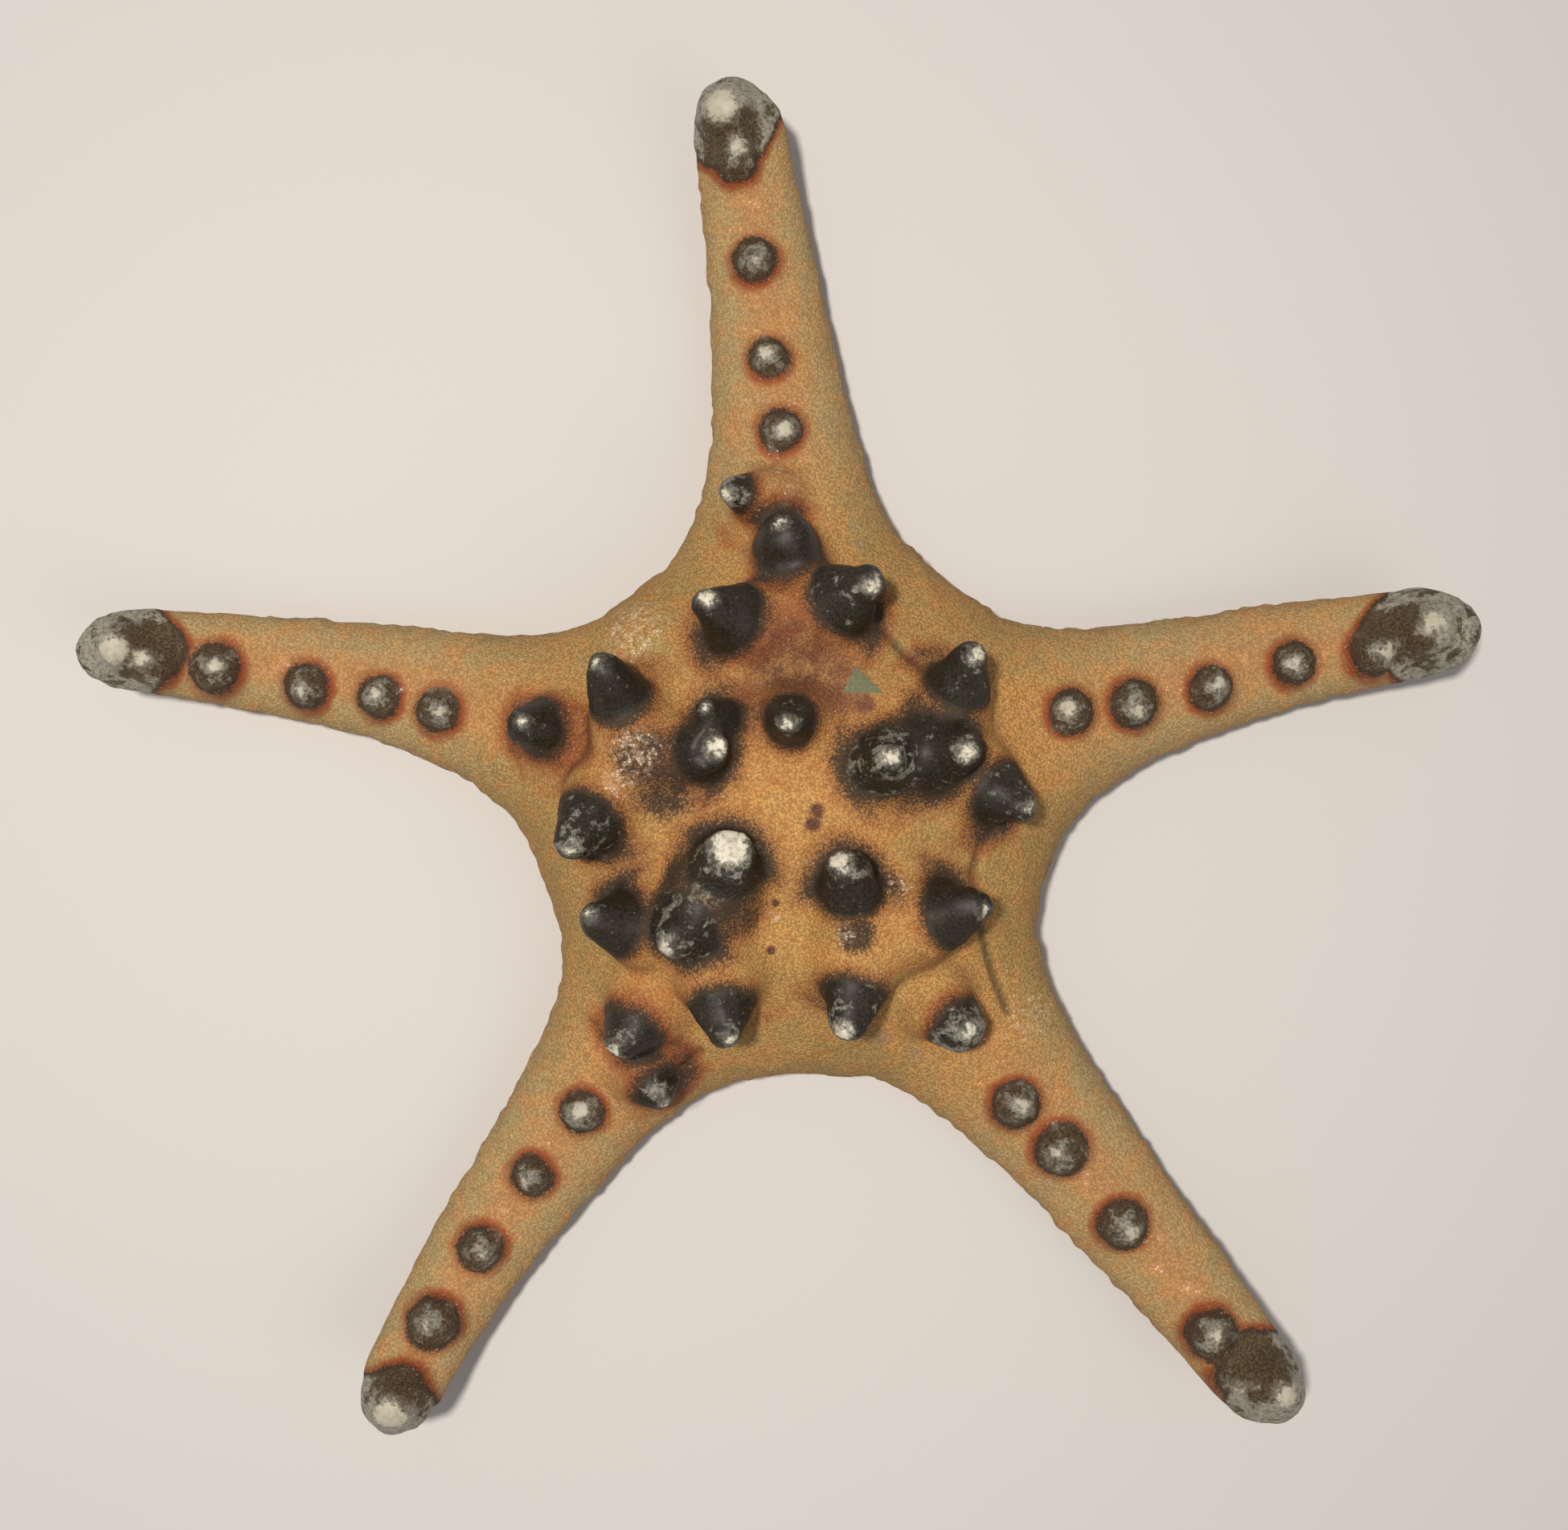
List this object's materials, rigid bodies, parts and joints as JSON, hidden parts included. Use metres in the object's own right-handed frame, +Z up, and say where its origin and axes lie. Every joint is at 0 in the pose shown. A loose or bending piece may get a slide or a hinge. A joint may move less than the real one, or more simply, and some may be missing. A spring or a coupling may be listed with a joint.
{
  "type": "dried horned sea star",
  "caption": "Dried horned sea star: a low domed disc with tapering arms whose tips turn up, blunt dark horns on its back and grooves along its flat underside; a shelf or beach ornament.",
  "frame": {"origin": "on the surface the star rests on, below the middle of its bounding box", "axes": "+Z up out of the back with its horns; +X towards the arm that points right, +Y towards the arm that points away, seen from above"},
  "size_m": [0.2324, 0.2236, 0.0439],
  "materials": {
    "skin": "matte"
  },
  "bodies": {
    "root": {"starfish": "skin"}
  },
  "joints": []
}
